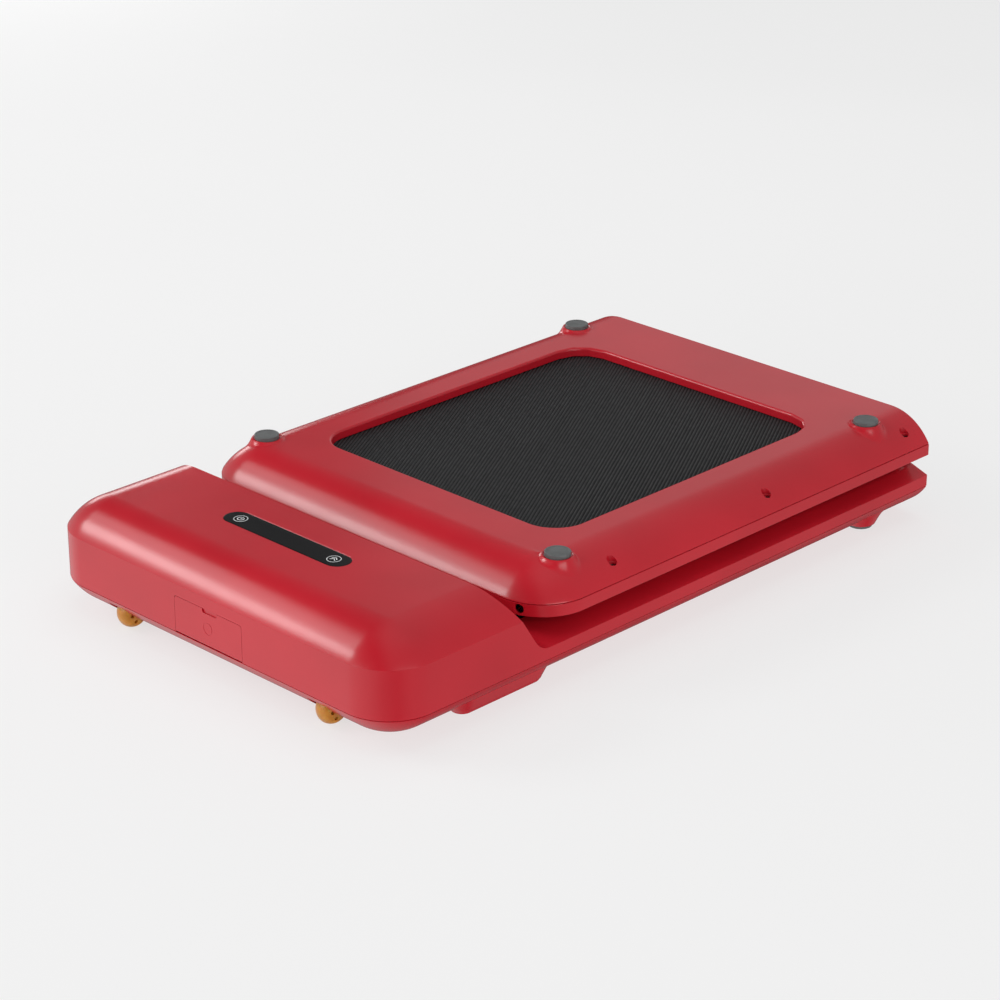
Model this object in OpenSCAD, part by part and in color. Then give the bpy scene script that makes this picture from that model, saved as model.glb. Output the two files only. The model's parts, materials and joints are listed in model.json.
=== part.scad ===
// Folding walking treadmill, folded flat: the rear half lies upside down on the front half.
// +X is across the belt, +Y runs from the hood to the fold, Z = 0 is the floor.
// Parts of the rear half are drawn in their walking position's levels and turned over by flipped().

/* [Overall] */
// Length from the hood's front to the fold
length = 825; // [815:5:835]
// Width over the side bands
width = 516; // [514:1:518]
// Height of the fold axis, half the folded height
fold_z = 61.9; // [61.9:0.1:62.3]
// Length of the rear half
rear_length = 616; // [612:1:620]

/* [Shells] */
// Wall of the moulded shells
wall = 2.6; // [2.4:0.1:2.8]
// Level of the flat bottom of the pans
pan_z = 5.8; // [5.6:0.1:6]
// Level of the seam between pan and cover
seam_z = 36.6; // [36.4:0.1:36.8]
// Level of the top of the side band
band_z = 49.9; // [49.5:0.1:50.2]
// Level of the flat top of the side rails
rail_z = 57.5; // [57.3:0.1:57.7]
// Radius of the pan's rounded lower edge
pan_arc_r = 55; // [54:0.5:55]
// Corner radius of the plan outline
corner_r = 56; // [56:0.5:57]
// Level of the hood's top
hood_z = 121; // [120.6:0.1:121.2]
// Lean of the hood's rear face, run per rise
hood_lean = 0.645; // [0.62:0.005:0.66]

/* [Walking belt] */
// Width of the belt
belt_w = 400; // [396:1:402]
// Thickness of the belt
belt_t = 1.6; // [1.5:0.1:1.7]
// Radius of both rollers
roller_r = 17.6; // [17.4:0.1:17.8]
// Level of the roller axes
roller_z = 36; // [35.8:0.1:36.2]

/* [Drive] */
// Radius of the motor can
motor_r = 33; // [30:1:34]
// Radius of the flywheel
flywheel_r = 37; // [34:1:38]
// Radius of the pulley on the front roller
big_pulley_r = 22; // [21:0.5:22]
// Radius of the pulley on the motor
small_pulley_r = 11; // [10:0.5:11.5]

/* [Fittings] */
// Radius of the transport wheels
wheel_r = 17; // [16:0.5:17.5]
// Width of a transport wheel
wheel_w = 24; // [22:1:24]
// Radius of the rubber feet
foot_r = 13.5; // [12:0.5:14]
// Radius of the hinge knuckles
knuckle_r = 6; // [5.5:0.5:6]

/* [Hidden] */
$fn = 64;

half_w = width / 2;
total_h = 2 * fold_z;
fold_y = (length - knuckle_r) / 2;
front_y = fold_y - length;
tail_y = fold_y - rear_length;
end_gap = 0.3;
end_y = fold_y - end_gap;
big = 400;
diag = sqrt(0.5);

// pan profile: a 45 degree slope under the seam, then an arc down to the flat
arc_z = pan_z + pan_arc_r;
pan_inset = 2 * pan_arc_r * diag + seam_z - arc_z;
arc_x = half_w - pan_inset;
crease_z = hood_z + pan_z - seam_z;
hood_base_y = front_y + 200.5;
hood_foot_z = 58;

// side rails and the steel beams in them
rail_in_x = belt_w / 2 + 3.5;
rail_shoulder_x = half_w - 22;
beam_x = 214;
beam_w = 18;
beam_low = 20;
beam_high = 48;
beam_wall = 1.8;
beam_front_y = front_y + 62;
beam_tail_y = tail_y + 38.5;
beam_end_y = end_y - wall - 0.3;

// belts and decks
belt_low = roller_z - roller_r - belt_t;
belt_high = roller_z + roller_r + belt_t;
deck_t = 12;
deck_top = belt_high - belt_t - 0.2;
bar_low = 22;
bar_high = 38;
bar_w = 30;
front_roller_y = front_y + 177.5;
rear_roller_y = tail_y + 53.5;
roller_x = belt_w / 2 + 2;

// drive
motor_y = front_y + 112;
motor_z = 63;
pulley_x = -(beam_x - 0.8);
pulley_w = -pulley_x - roller_x;

// fittings
wheel_x = 152;
wheel_y = front_y + 25;
wheel_z = wheel_r + 0.4;
wheel_axle_r = 4;
axle_reach = wheel_w / 2 + 3.6;
wheel_slot_top = 29;
fork_end_y = wheel_y + 38;
foot_x = 217.6;
front_foot_x = 221;
front_foot_y = fold_y - 70;
foot_t = 4.2;
skid_x = 222;
skid_w = 24;
skid_draft = 0.4;
skid_h = 24;
skid_y0 = front_y + 120;
skid_y1 = front_y + 236;
hole_x = 243;
hole_r = 4.5;
screw_y = [fold_y - 27.5, fold_y - 263.5, fold_y - 502.5];
post_top_z = rail_z - 4.6;
window_x = 178.5;
window_y0 = fold_y - 515.5;
window_y1 = fold_y - 99.5;
window_r = 37;
door_half_w = 50.5;
door_top = 77;
door_corner_r = 3;
door_notch_depth = 1.4;
door_axis_y = front_y + 1.6;
door_axis_z = 39;
door_barrel_r = 1.6;
rocker_z = 57;
rocker_tip = 9;
display_y = front_y + 106;
display_half = 89.5;
display_r = 14.2;
hinge_x0 = 204;
hinge_x1 = 232;
hinge_pin_r = 3;
leaf_t = 2.4;
leaf_screw_x = beam_x + 5;

// ---------- helpers ----------
// children drawn in walking levels, turned over about the fold axis level
module flipped() {
  translate([0, 0, total_h]) mirror([0, 0, 1]) children();
}

// a flat outline in X and Z, pulled along Y
module along_y(y0, y1) {
  translate([0, y1, 0]) rotate([90, 0, 0]) linear_extrude(y1 - y0) children();
}

// a flat outline in Y and Z, pulled along X
module along_x(x0, x1) {
  translate([x0, 0, 0]) rotate([90, 0, 90]) linear_extrude(x1 - x0) children();
}

module both_sides() {
  children();
  mirror([1, 0, 0]) children();
}

module box(x0, x1, y0, y1, z0, z1) {
  translate([x0, y0, z0]) cube([x1 - x0, y1 - y0, z1 - z0]);
}

module rod_x(x0, x1, y, z, r) {
  translate([x0, y, z]) rotate([0, 90, 0]) cylinder(h = x1 - x0, r = r);
}

module rod_y(x, y0, y1, z, r) {
  translate([x, y1, z]) rotate([90, 0, 0]) cylinder(h = y1 - y0, r = r);
}

module rod_z(x, y, z0, z1, r) {
  translate([x, y, z0]) cylinder(h = z1 - z0, r = r);
}

// half section of the pan, set in by t
module pan_half(t, top) {
  r = pan_arc_r - t;
  knee_x = arc_x + r * diag;
  knee_z = arc_z - r * diag;
  translate([0, arc_z - r]) square([arc_x, top - arc_z + r]);
  intersection() {
    translate([arc_x, arc_z]) circle(r);
    translate([arc_x - 1, arc_z - r]) square([r * diag + 1, r - r * diag + 0.01]);
  }
  polygon([[arc_x - 1, knee_z], [knee_x, knee_z], [knee_x + top - knee_z, top], [arc_x - 1, top]]);
}

// half section of the hood, set in by t, open below
module hood_half(t, bottom) {
  translate([0, bottom]) square([half_w - t, crease_z - bottom + 0.1]);
  translate([0, hood_z + pan_z]) mirror([0, 1]) pan_half(t, seam_z + t * (sqrt(2) - 1));
}

// a half section carried down both sides and round the rounded end
module swept(y0, y1) {
  flat_x = half_w - corner_r;
  along_y(y0 + corner_r, y1) {
    children();
    mirror([1, 0]) children();
  }
  translate([flat_x, y0 + half_w, 0]) rotate([90, 0, -90]) linear_extrude(2 * flat_x)
    intersection() {
      children();
      translate([flat_x, -1]) square([corner_r + 1, big]);
    }
  for (side = [0, 1]) mirror([side, 0, 0]) swept_corner(y0) children();
}

module swept_corner(y0) {
  flat_x = half_w - corner_r;
  translate([flat_x, y0 + corner_r, 0]) rotate([0, 0, -90]) rotate_extrude(angle = 90)
    translate([-flat_x, 0]) intersection() {
      children();
      translate([flat_x, -1]) square([corner_r + 1, big]);
    }
}

// section of a side rail, from the seam up over the top and down beside the belt
module rail_section(in_x) {
  lip_z = rail_z - 7;
  polygon([
    [half_w, seam_z + 0.2], [half_w, band_z], [rail_shoulder_x, rail_z], [in_x, rail_z],
    [in_x, lip_z], [in_x + wall, lip_z], [in_x + wall, rail_z - wall],
    [rail_shoulder_x - 0.5, rail_z - wall], [half_w - wall, band_z - wall / 2],
    [half_w - wall, seam_z + 0.2]
  ]);
}

module end_wall(z0) {
  along_y(end_y - wall, end_y) both_sides() polygon([
    [rail_in_x, z0], [half_w - wall / 2, z0], [half_w - wall / 2, band_z - 1],
    [rail_shoulder_x, rail_z - 1], [rail_in_x, rail_z - 1]
  ]);
}

module hinge_gap() {
  both_sides() box(hinge_x0 - 1, hinge_x1 + 1, fold_y - 13, fold_y + 1, beam_high - 0.1, total_h);
}

module rounded_plate(x, y0, y1, r, z0, z1) {
  translate([0, 0, z0]) linear_extrude(z1 - z0) {
    translate([-x + r, y0]) square([2 * (x - r), y1 - y0]);
    translate([-x, y0 + r]) square([2 * x, y1 - y0 - 2 * r]);
    for (sx = [-1, 1], yy = [y0 + r, y1 - r]) translate([sx * (x - r), yy]) circle(r);
  }
}

// shell of a pan with its window, feet bosses, screw bosses and end wall
module pan_shell(y0, feet) {
  difference() {
    union() {
      difference() {
        swept(y0, end_y) pan_half(0, seam_z);
        swept(y0, end_y + 1) pan_half(wall, seam_z + 1);
      }
      along_y(end_y - wall, end_y) intersection() {
        both_sides() pan_half(0.5, seam_z);
        both_sides() translate([rail_in_x, 0]) square([60, big]);
      }
      for (f = feet) both_sides() translate([f[0], f[1], 2.2]) {
        cylinder(h = 3.8, r1 = foot_r + 2, r2 = foot_r + 3.5);
        translate([0, 0, 3.8]) cylinder(h = f[2], r1 = foot_r + 3.5, r2 = foot_r + 6);
      }
      intersection() {
        swept(y0, end_y) pan_half(0, seam_z);
        for (y = screw_y) both_sides() rod_z(hole_x, y, pan_z, 31, hole_r + 1.6);
      }
    }
    rounded_plate(window_x, window_y0, window_y1, window_r, -1, 15);
    for (y = screw_y) both_sides() {
      rod_z(hole_x, y, -1, 28, hole_r);
      rod_z(hole_x, y, 27, 40, 2.2);
    }
    for (f = feet) both_sides() rod_z(f[0], f[1], -1, 4, foot_r + 0.05);
  }
}

module shell_screws() {
  for (y = screw_y) both_sides() {
    difference() {
      rod_z(hole_x, y, 25.4, 28, 4.2);
      box(hole_x - 3, hole_x + 3, y - 0.5, y + 0.5, 25, 26.4);
      box(hole_x - 0.5, hole_x + 0.5, y - 3, y + 3, 25, 26.4);
    }
    rod_z(hole_x, y, 28, 48, 1.8);
  }
}

module screw_posts() {
  difference() {
    for (y = screw_y) both_sides() rod_z(hole_x, y, 33, post_top_z, 4.6);
    for (y = screw_y) both_sides() rod_z(hole_x, y, 32, post_top_z - 3, 1.85);
  }
}

module beam(y0, y1, roller_y, axle_r, slot) {
  difference() {
    box(beam_x, beam_x + beam_w, y0, y1, beam_low, beam_high);
    box(beam_x + beam_wall, beam_x + beam_w - beam_wall, y0 - 1, y1 + 1,
      beam_low + beam_wall, beam_high - beam_wall);
    rod_x(beam_x - 1, beam_x + beam_w + 1, roller_y, roller_z, axle_r);
    if (slot > 0) box(beam_x - 1, beam_x + beam_w + 1, roller_y, roller_y + slot,
      roller_z - axle_r, roller_z + axle_r);
    for (k = [12, 30]) rod_z(leaf_screw_x, fold_y - k, beam_high - 5, beam_high + 1, 2.52);
  }
}

module cross_bars(ys) {
  for (y = ys) difference() {
    box(-beam_x, beam_x, y - bar_w / 2, y + bar_w / 2, bar_low, bar_high);
    box(-beam_x - 1, beam_x + 1, y - bar_w / 2 + 1.8, y + bar_w / 2 - 1.8,
      bar_low + 1.8, bar_high - 1.8);
  }
}

module deck_cushions(ys) {
  for (y = ys, x = [-150, 0, 150])
    rod_z(x, y, bar_high, deck_top - deck_t, 11);
}

// endless belt of one half: round the roller, along the deck, closed by a strip at the fold
module belt_loop(roller_y) {
  difference() {
    union() {
      rod_x(-belt_w / 2, belt_w / 2, roller_y, roller_z, roller_r + belt_t);
      box(-belt_w / 2, belt_w / 2, roller_y, end_y, belt_low, belt_high);
    }
    rod_x(-belt_w, belt_w, roller_y, roller_z, roller_r + 0.3);
    box(-belt_w, belt_w, roller_y, end_y - belt_t, belt_low + belt_t, belt_high - belt_t);
  }
}

module roller_tube(roller_y) {
  difference() {
    rod_x(-roller_x, roller_x, roller_y, roller_z, roller_r);
    rod_x(-roller_x - 1, roller_x + 1, roller_y, roller_z, roller_r - 1.6);
  }
}

module roller_bearings(roller_y, axle_r) {
  both_sides() difference() {
    rod_x(roller_x - 11, roller_x - 1, roller_y, roller_z, roller_r - 1.62);
    rod_x(roller_x - 12, roller_x, roller_y, roller_z, axle_r + 0.05);
    difference() {
      rod_x(roller_x - 2, roller_x, roller_y, roller_z, 13);
      rod_x(roller_x - 3, roller_x + 1, roller_y, roller_z, 9);
    }
  }
}

module grooved_pulley(y, z, r, bore) {
  difference() {
    rod_x(pulley_x, pulley_x + pulley_w, y, z, r);
    for (i = [1:3]) difference() {
      rod_x(pulley_x + i * 2 + 0.1, pulley_x + i * 2 + 0.9, y, z, r + 1);
      rod_x(pulley_x + i * 2 - 1, pulley_x + i * 2 + 2, y, z, r - 0.9);
    }
    rod_x(pulley_x - 1, pulley_x + pulley_w + 1, y, z, bore);
  }
}

// outline round two pulleys, in Y and Z
module belt_outline(grow) {
  run = front_roller_y - motor_y;
  drop = roller_z - motor_z;
  lean = atan2(drop, run);
  open = acos((small_pulley_r - big_pulley_r) / norm([run, drop]));
  ra = small_pulley_r + grow;
  rb = big_pulley_r + grow;
  translate([motor_y, motor_z]) circle(ra);
  translate([front_roller_y, roller_z]) circle(rb);
  polygon([
    [motor_y + ra * cos(lean + open), motor_z + ra * sin(lean + open)],
    [motor_y + ra * cos(lean - open), motor_z + ra * sin(lean - open)],
    [front_roller_y + rb * cos(lean - open), roller_z + rb * sin(lean - open)],
    [front_roller_y + rb * cos(lean + open), roller_z + rb * sin(lean + open)]
  ]);
}

// knuckles on the fold axis with their webs and foot plate, all in walking levels
module hinge_leaf(knuckles) {
  difference() {
    union() {
      for (k = knuckles) {
        rod_x(k[0], k[1], fold_y, fold_z, knuckle_r);
        along_x(k[0], k[1]) polygon([
          [fold_y - 42, beam_high], [fold_y - 42, beam_high + leaf_t],
          [fold_y - 12.6, beam_high + leaf_t],
          [fold_y - knuckle_r + 0.4, fold_z], [fold_y, fold_z], [end_y, fold_z - 2], [end_y, beam_high]
        ]);
      }
      box(hinge_x0, hinge_x1, fold_y - 42, end_y, beam_high, beam_high + leaf_t);
    }
    rod_x(hinge_x0 - 1, hinge_x1 + 1, fold_y, fold_z, hinge_pin_r + 0.05);
    for (k = [12, 30]) rod_z(leaf_screw_x, fold_y - k, beam_high - 1, beam_high + 5, 2.55);
  }
}

// ---------- front half, outside ----------
module hood_block(t) {
  intersection() {
    swept(front_y, hood_base_y + 20) hood_half(t, seam_z + 0.2 - (t > 0 ? 1 : 0));
    along_x(-big, big) polygon([
      [front_y - 20, 20], [hood_base_y - t, 20], [hood_base_y - t, hood_foot_z - t],
      [hood_base_y - hood_lean * (hood_z - hood_foot_z) - t * 1.19, hood_z + 0.5],
      [hood_base_y - hood_lean * (hood_z - hood_foot_z) - t * 1.19, hood_z + 20],
      [front_y - 20, hood_z + 20]
    ]);
  }
}

module top_cover() color("#B8202E") {
  difference() {
    union() {
      difference() {
        hood_block(0);
        hood_block(wall);
        box(-half_w + wall, half_w - wall, hood_base_y - 10, hood_base_y + 1, 20, rail_z - wall);
        box(-rail_in_x, rail_in_x, hood_base_y - 10, hood_base_y + 1, 20, rail_z);
      }
      along_y(hood_base_y - wall, end_y) both_sides() rail_section(rail_in_x);
      end_wall(beam_high);
      screw_posts();
    }
    hinge_gap();
    rounded_display(0.1, hood_z - 1.7, hood_z + 1);
    box(-door_half_w - 0.4, door_half_w + 0.4, front_y - 1, front_y + wall + 1, 20, door_top + 0.4);
    rod_x(-door_half_w - 2.4, door_half_w + 2.4, door_axis_y, door_axis_z, 0.8);
  }
}

module lower_pan() color("#B01E2B") {
  difference() {
    pan_shell(front_y, [[front_foot_x, front_foot_y, 8]]);
    both_sides() box(wheel_x - wheel_w / 2 - 1.5, wheel_x + wheel_w / 2 + 1.5,
      wheel_y - wheel_r - 8, wheel_y + wheel_r + 1.5, -1, wheel_slot_top);
    both_sides() rod_x(wheel_x - axle_reach - 0.2, wheel_x + axle_reach + 0.2, wheel_y, wheel_z,
      wheel_axle_r + 0.1);
  }
}

module rounded_display(gap, z0, z1) {
  translate([0, 0, z0]) linear_extrude(z1 - z0) {
    translate([-display_half + display_r, display_y - display_r - gap])
      square([2 * (display_half - display_r), 2 * (display_r + gap)]);
    for (s = [-1, 1]) translate([s * (display_half - display_r), display_y]) circle(display_r + gap);
  }
}

module display_lens() color("#141416") rounded_display(0, hood_z - 1.7, hood_z - 0.1);

module display_board() color("#1E5A38") {
  box(-78, 78, display_y - 11, display_y + 11, hood_z - 9, hood_z - 7.4);
  box(-40, 40, display_y - 8, display_y + 8, hood_z - 7.4, hood_z - wall);
  for (x = [-70, 70]) rod_z(x, display_y, hood_z - 7.4, hood_z - wall, 2.5);
}

module access_door() color("#BA2230") {
  difference() {
    union() {
      box(-door_half_w, door_half_w, front_y, front_y + wall, door_axis_z, door_top - door_corner_r);
      box(-door_half_w + door_corner_r, door_half_w - door_corner_r, front_y, front_y + wall,
        door_axis_z, door_top);
      for (s = [-1, 1]) rod_y(s * (door_half_w - door_corner_r), front_y, front_y + wall,
        door_top - door_corner_r, door_corner_r);
      rod_x(-door_half_w, door_half_w, door_axis_y, door_axis_z, door_barrel_r);
      for (s = [-1, 1]) box(s * 42 - 1, s * 42 + 1, front_y + wall, front_y + 5, 46, door_top - 6);
    }
    box(-8, 14, front_y - 1, front_y + door_notch_depth, door_top - 4.5, door_top + 1);
    rod_x(-door_half_w - 1, door_half_w + 1, door_axis_y, door_axis_z, 0.85);
    translate([0, front_y + 0.4, 57]) rotate([90, 0, 0]) difference() {
      cylinder(h = 1, r = 7);
      translate([0, 0, -1]) cylinder(h = 3, r = 6);
    }
  }
}

module door_pin() color("#B9BCBF")
  rod_x(-door_half_w - 2.2, door_half_w + 2.2, door_axis_y, door_axis_z, 0.78);

module socket_tray() color("#26282B") {
  y0 = front_y + 4.4;
  y1 = front_y + 42;
  difference() {
    box(-56, 56, y0, y1, 38.4, door_top + 3);
    box(-52, 52, y0 - 1, y1 - 2, 41.4, door_top + 0.6);
    box(-40.2, -11.8, y1 - 3, y1 + 1, 46.8, 67.2);
    box(11.8, 36.2, y1 - 3, y1 + 1, 45.8, 68.2);
  }
  both_sides() box(56, 62, front_y + wall, front_y + 8, 44, door_top);
}

module power_inlet() color("#1B1C1E") {
  y0 = front_y + 38;
  difference() {
    union() {
      box(-42, -10, y0 - 0.5, y0 + 2, 45, 69);
      box(-40, -12, y0 + 2, y0 + 24, 47, 67);
    }
    box(-38, -14, y0 - 2, y0 + 17, 49, 65);
  }
  for (p = [[-33, 60.5], [-19, 60.5], [-26, 54]])
    box(p[0] - 1, p[0] + 1, y0 + 5, y0 + 18, p[1] - 2, p[1] + 2);
}

module switch_bezel() color("#1B1C1E") {
  y0 = front_y + 38;
  difference() {
    union() {
      box(10, 38, y0 - 0.5, y0 + 2, 44, 70);
      box(12, 36, y0 + 2, y0 + 20, 46, 68);
    }
    box(16, 32, y0 - 2, y0 + 17, rocker_z - 8.6, rocker_z + 8.6);
  }
}

// the rocker lies tipped to its off side
module switch_rocker() color("#C8C9CB")
  translate([0, front_y + 46, rocker_z]) rotate([-rocker_tip, 0, 0]) difference() {
    intersection() {
      rod_x(16.6, 31.4, 0, 0, 10);
      box(16, 32, -12, 0, -7, 7);
    }
    rod_x(10, 40, -17, 0, 9);
  }

// ---------- drive ----------
module motor_can() color("#8F9498") difference() {
  rod_x(-60, 70, motor_y, motor_z, motor_r);
  rod_x(-61, 71, motor_y, motor_z, motor_r - 3.5);
}

module motor_end_bells() color("#2B2D30") {
  difference() {
    rod_x(-72, -60, motor_y, motor_z, motor_r);
    rod_x(-73, -59, motor_y, motor_z, 4.05);
  }
  difference() {
    rod_x(70, 82, motor_y, motor_z, motor_r);
    rod_x(69, 83, motor_y, motor_z, 4.05);
  }
}

module motor_shaft() color("#C6C9CC") {
  rod_x(pulley_x, 85, motor_y, motor_z, 4);
  rod_x(-52, 60, motor_y, motor_z, motor_r - 7);
}

module flywheel() color("#54585C") difference() {
  rod_x(-196, -180, motor_y, motor_z, flywheel_r);
  rod_x(-197, -179, motor_y, motor_z, 4.01);
  for (a = [0:60:300]) translate([0, motor_y, motor_z]) rotate([a, 0, 0])
    rod_x(-197, -179, 0, 22, 6);
}

module motor_pulley() color("#A9ADB1") grooved_pulley(motor_y, motor_z, small_pulley_r, 4.01);

module motor_bracket() color("#3A3C40") {
  box(-92, 92, motor_y - 34, motor_y + 40, pan_z + wall + 0.2, 12);
  for (x = [-46, 54]) difference() {
    box(x, x + 4, motor_y - 30, motor_y + 30, 12, motor_z - 8);
    rod_x(x - 1, x + 5, motor_y, motor_z, motor_r + 0.02);
  }
}

module drive_belt() color("#1C1C1D") along_x(pulley_x + 0.6, pulley_x + pulley_w - 0.6) difference() {
  belt_outline(1.8);
  belt_outline(0.3);
}

module roller_pulley() color("#A9ADB1") grooved_pulley(front_roller_y, roller_z, big_pulley_r, 7.5);

module controller_board() color("#1E5A38") {
  box(106, 204, motor_y - 48, motor_y + 40, 24, 25.6);
  for (x = [111, 199], y = [-43, 35]) rod_z(x, motor_y + y, pan_z + wall, 24, 3);
  for (x = [122, 140]) rod_z(x, motor_y - 30, 25.6, 52, 8);
  box(150, 178, motor_y - 44, motor_y - 24, 25.6, 44);
  box(188, 202, motor_y - 20, motor_y + 30, 25.6, 37);
}

module heat_sink() color("#AEB3B7") {
  box(112, 182, motor_y - 14, motor_y + 34, 25.6, 30);
  for (i = [0:7]) box(112 + i * 9.6, 114.8 + i * 9.6, motor_y - 14, motor_y + 34, 30, 58);
}

// ---------- front frame, deck and belt ----------
module front_beam_left() color("#4A4D50")
  mirror([1, 0, 0]) beam(beam_front_y, beam_end_y, front_roller_y, 6.02, 0);

module front_beam_right() color("#4A4D50")
  beam(beam_front_y, beam_end_y, front_roller_y, 6.02, 0);

module front_cross_bars() color("#4A4D50")
  cross_bars([fold_y - 40, fold_y - 200, fold_y - 360, fold_y - 520]);

module front_deck() color("#8A6A48")
  box(-belt_w / 2 + 4, belt_w / 2 - 4, front_roller_y + 26, end_y - 8, deck_top - deck_t, deck_top);

module front_deck_cushions() color("#2F3133")
  deck_cushions([fold_y - 40, fold_y - 200, fold_y - 360, fold_y - 520]);

module front_roller_tube() color("#BFC3C6") roller_tube(front_roller_y);

module front_roller_bearings() color("#D5D8DA") roller_bearings(front_roller_y, 6);

module front_roller_axle() color("#9EA2A6")
  rod_x(-beam_x - beam_w - 1, beam_x + beam_w + 1, front_roller_y, roller_z, 6);

module front_belt() color("#2B2B2B") belt_loop(front_roller_y);

module belt_fold() color("#2B2B2B")
  box(-belt_w / 2, belt_w / 2, end_y - belt_t, end_y, belt_high + 0.3, total_h - belt_high - 0.3);

// ---------- wheels, skids and feet ----------
module wheel_solid(x) {
  round_r = wheel_w / 2;
  translate([x, wheel_y, wheel_z]) rotate([0, 90, 0]) difference() {
    rotate_extrude() intersection() {
      union() {
        translate([0, -round_r]) square([wheel_r - round_r, wheel_w]);
        translate([wheel_r - round_r, 0]) circle(round_r);
      }
      translate([4.1, -round_r]) square([wheel_r, wheel_w]);
    }
    for (s = [-1, 1], a = [0:60:300]) rotate([0, 0, a]) translate([8.6, 0, s * round_r - 2])
      cylinder(h = 4, r = 2.1);
  }
}

module wheel_left() color("#DD9A3A") wheel_solid(-wheel_x);

module wheel_right() color("#DD9A3A") wheel_solid(wheel_x);

module wheel_axles() color("#B9BCBF") both_sides()
  rod_x(wheel_x - axle_reach, wheel_x + axle_reach, wheel_y, wheel_z, wheel_axle_r);

module wheel_forks() color("#8C9094") both_sides() {
  for (s = [-1, 1]) {
    x = wheel_x + s * (wheel_w / 2 + 2.6);
    difference() {
      union() {
        rod_x(x - 1, x + 1, wheel_y, wheel_z + 2, 8);
        box(x - 1, x + 1, wheel_y, fork_end_y, wheel_z + 2, wheel_z + 10);
        box(x - 1, x + 1, fork_end_y - 12, fork_end_y, 11, wheel_z + 10);
      }
      rod_x(x - 2, x + 2, wheel_y, wheel_z, wheel_axle_r + 0.02);
      swept_pan_skin();
    }
  }
  box(wheel_x - axle_reach, wheel_x + axle_reach, fork_end_y - 12, fork_end_y, 9.4, 11);
}

// a block below the front bend of the pan, to keep the forks clear of the shell
module swept_pan_skin() {
  along_x(0, big) difference() {
    translate([front_y - 1, -1]) square([half_w, seam_z]);
    translate([front_y + half_w, 0]) mirror([1, 0]) pan_half(wall + 0.3, seam_z + 2);
  }
}

module skids() color("#A81C29") both_sides() difference() {
  union() {
    for (y = [skid_y0 + skid_w / 2, skid_y1 - skid_w / 2]) translate([skid_x, y, 0])
      cylinder(h = skid_h, r1 = skid_w / 2, r2 = skid_w / 2 + skid_draft * skid_h);
    along_y(skid_y0 + skid_w / 2, skid_y1 - skid_w / 2) polygon([
      [skid_x - skid_w / 2, 0], [skid_x + skid_w / 2, 0],
      [skid_x + skid_w / 2 + skid_draft * skid_h, skid_h],
      [skid_x - skid_w / 2 - skid_draft * skid_h, skid_h]
    ]);
  }
  along_y(skid_y0 - skid_h, skid_y1 + skid_h) pan_half(0, seam_z);
  box(arc_x + pan_arc_r * diag, half_w, skid_y0 - skid_h, skid_y1 + skid_h, arc_z - pan_arc_r * diag, 30);
}

module front_feet() color("#6A7272") both_sides() rod_z(front_foot_x, front_foot_y, 0, 4, foot_r);

module front_shell_screws() color("#8E9296") shell_screws();

// ---------- fold hinge ----------
module front_hinge_leaves() color("#6E7276") both_sides()
  hinge_leaf([[hinge_x0, hinge_x0 + 7], [hinge_x1 - 7, hinge_x1]]);

module hinge_pins() color("#D0D3D6") both_sides()
  rod_x(hinge_x0 - 0.5, hinge_x1 + 0.5, fold_y, fold_z, hinge_pin_r);

module rear_hinge_leaves() color("#6E7276") flipped() both_sides()
  hinge_leaf([[hinge_x0 + 7.3, hinge_x1 - 7.3]]);

module leaf_screws() {
  both_sides() for (k = [12, 30]) rod_z(leaf_screw_x, fold_y - k, beam_high - 8, beam_high + leaf_t, 2.5);
}

module front_hinge_screws() color("#2B2D30") leaf_screws();

module rear_hinge_screws() color("#2B2D30") flipped() leaf_screws();

// ---------- rear half ----------
module rear_pan() color("#B8202E") flipped()
  pan_shell(tail_y, [[foot_x, tail_y + 61.5, 2.5], [foot_x, fold_y - 64.7, 2.5]]);

module rear_rim() color("#B8202E") flipped() {
  cap_in = half_w - 27;
  difference() {
    union() {
      along_y(tail_y + corner_r, end_y) both_sides() rail_section(rail_in_x);
      for (side = [0, 1]) mirror([side, 0, 0]) swept_corner(tail_y) rail_section(rail_in_x);
      translate([half_w - corner_r, tail_y + half_w, 0]) rotate([90, 0, -90])
        linear_extrude(2 * (half_w - corner_r)) rail_section(cap_in);
      end_wall(beam_high);
      screw_posts();
    }
    hinge_gap();
    both_sides() rod_y(220.5, tail_y - 1, tail_y + 10, 43, 4);
  }
}

module rear_beam_left() color("#4A4D50") flipped()
  mirror([1, 0, 0]) beam(beam_tail_y, beam_end_y, rear_roller_y, 5.05, 8);

module rear_beam_right() color("#4A4D50") flipped()
  beam(beam_tail_y, beam_end_y, rear_roller_y, 5.05, 8);

module rear_cross_bars() color("#4A4D50") flipped()
  cross_bars([fold_y - 40, fold_y - 200, fold_y - 360, fold_y - 510]);

module rear_deck() color("#8A6A48") flipped()
  box(-belt_w / 2 + 4, belt_w / 2 - 4, rear_roller_y + 26, end_y - 8, deck_top - deck_t, deck_top);

module rear_deck_cushions() color("#2F3133") flipped()
  deck_cushions([fold_y - 40, fold_y - 200, fold_y - 360, fold_y - 510]);

module rear_roller_tube() color("#BFC3C6") flipped() roller_tube(rear_roller_y);

module rear_roller_bearings() color("#D5D8DA") flipped() roller_bearings(rear_roller_y, 5);

module rear_roller_axle() color("#9EA2A6") flipped()
  rod_x(-beam_x - beam_w + 2.2, beam_x + beam_w - 2.2, rear_roller_y, roller_z, 5);

module rear_belt() color("#2B2B2B") flipped() belt_loop(rear_roller_y);

module tension_blocks() color("#7C8084") flipped() both_sides() difference() {
  box(beam_x + 2, beam_x + beam_w - 2, rear_roller_y - 22, rear_roller_y + 12, 24, 46);
  rod_x(beam_x, beam_x + beam_w, rear_roller_y, roller_z, 5.02);
  rod_y(220.5, rear_roller_y - 23, rear_roller_y - 8, 43, 2.52);
}

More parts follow.
